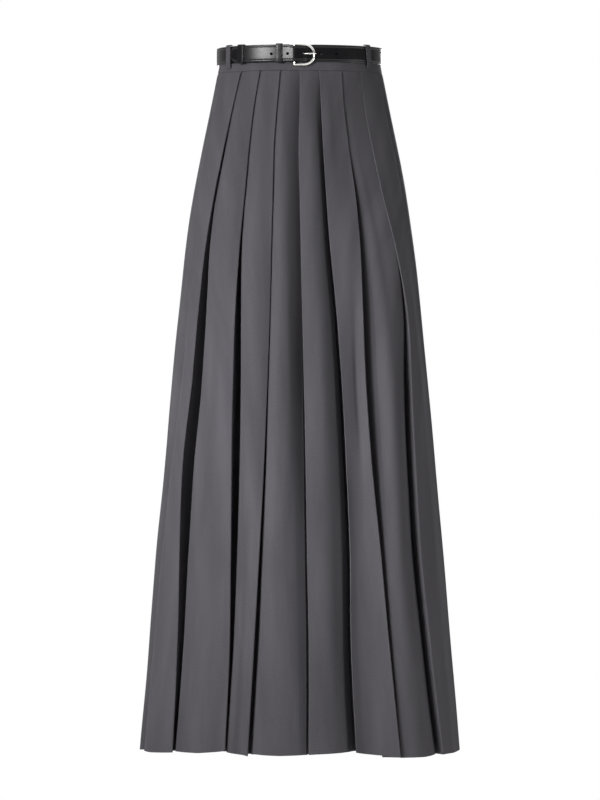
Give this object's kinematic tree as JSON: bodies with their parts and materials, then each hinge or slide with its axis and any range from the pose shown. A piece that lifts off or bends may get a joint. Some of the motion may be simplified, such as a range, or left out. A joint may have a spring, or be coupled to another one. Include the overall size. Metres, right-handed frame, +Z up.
{
  "type": "pleated maxi skirt with its own belt",
  "caption": "Floor-length pleated skirt in charcoal suiting, hollow and open at waist and hem, with waistband, belt loops and a narrow black leather belt with a horseshoe buckle.",
  "frame": {"origin": "middle of the waistband's upper edge, where the waist it is worn on holds it", "axes": "+Z up along the skirt's length, -Y towards the front with the buckle, +X towards a viewer's right"},
  "size_m": [0.4708, 0.2954, 1.0379],
  "materials": {
    "charcoal suiting": "matt, slightly soft suiting cloth",
    "black belt leather": "glossy smooth leather",
    "polished buckle steel": "polished",
    "zip tape": "matt woven tape"
  },
  "bodies": {
    "root": {"front": "charcoal suiting", "back": "charcoal suiting", "waistband_front": "charcoal suiting", "waistband_back": "charcoal suiting", "carrier_front_left": "charcoal suiting", "carrier_front_right": "charcoal suiting", "carrier_back_left": "charcoal suiting", "carrier_back_right": "charcoal suiting", "belt_strap": "black belt leather", "keeper_near": "black belt leather", "keeper_far": "black belt leather", "buckle_frame": "polished buckle steel", "buckle_prong": "polished buckle steel", "zip_tape": "zip tape", "zip_slider": "polished buckle steel"}
  },
  "joints": []
}
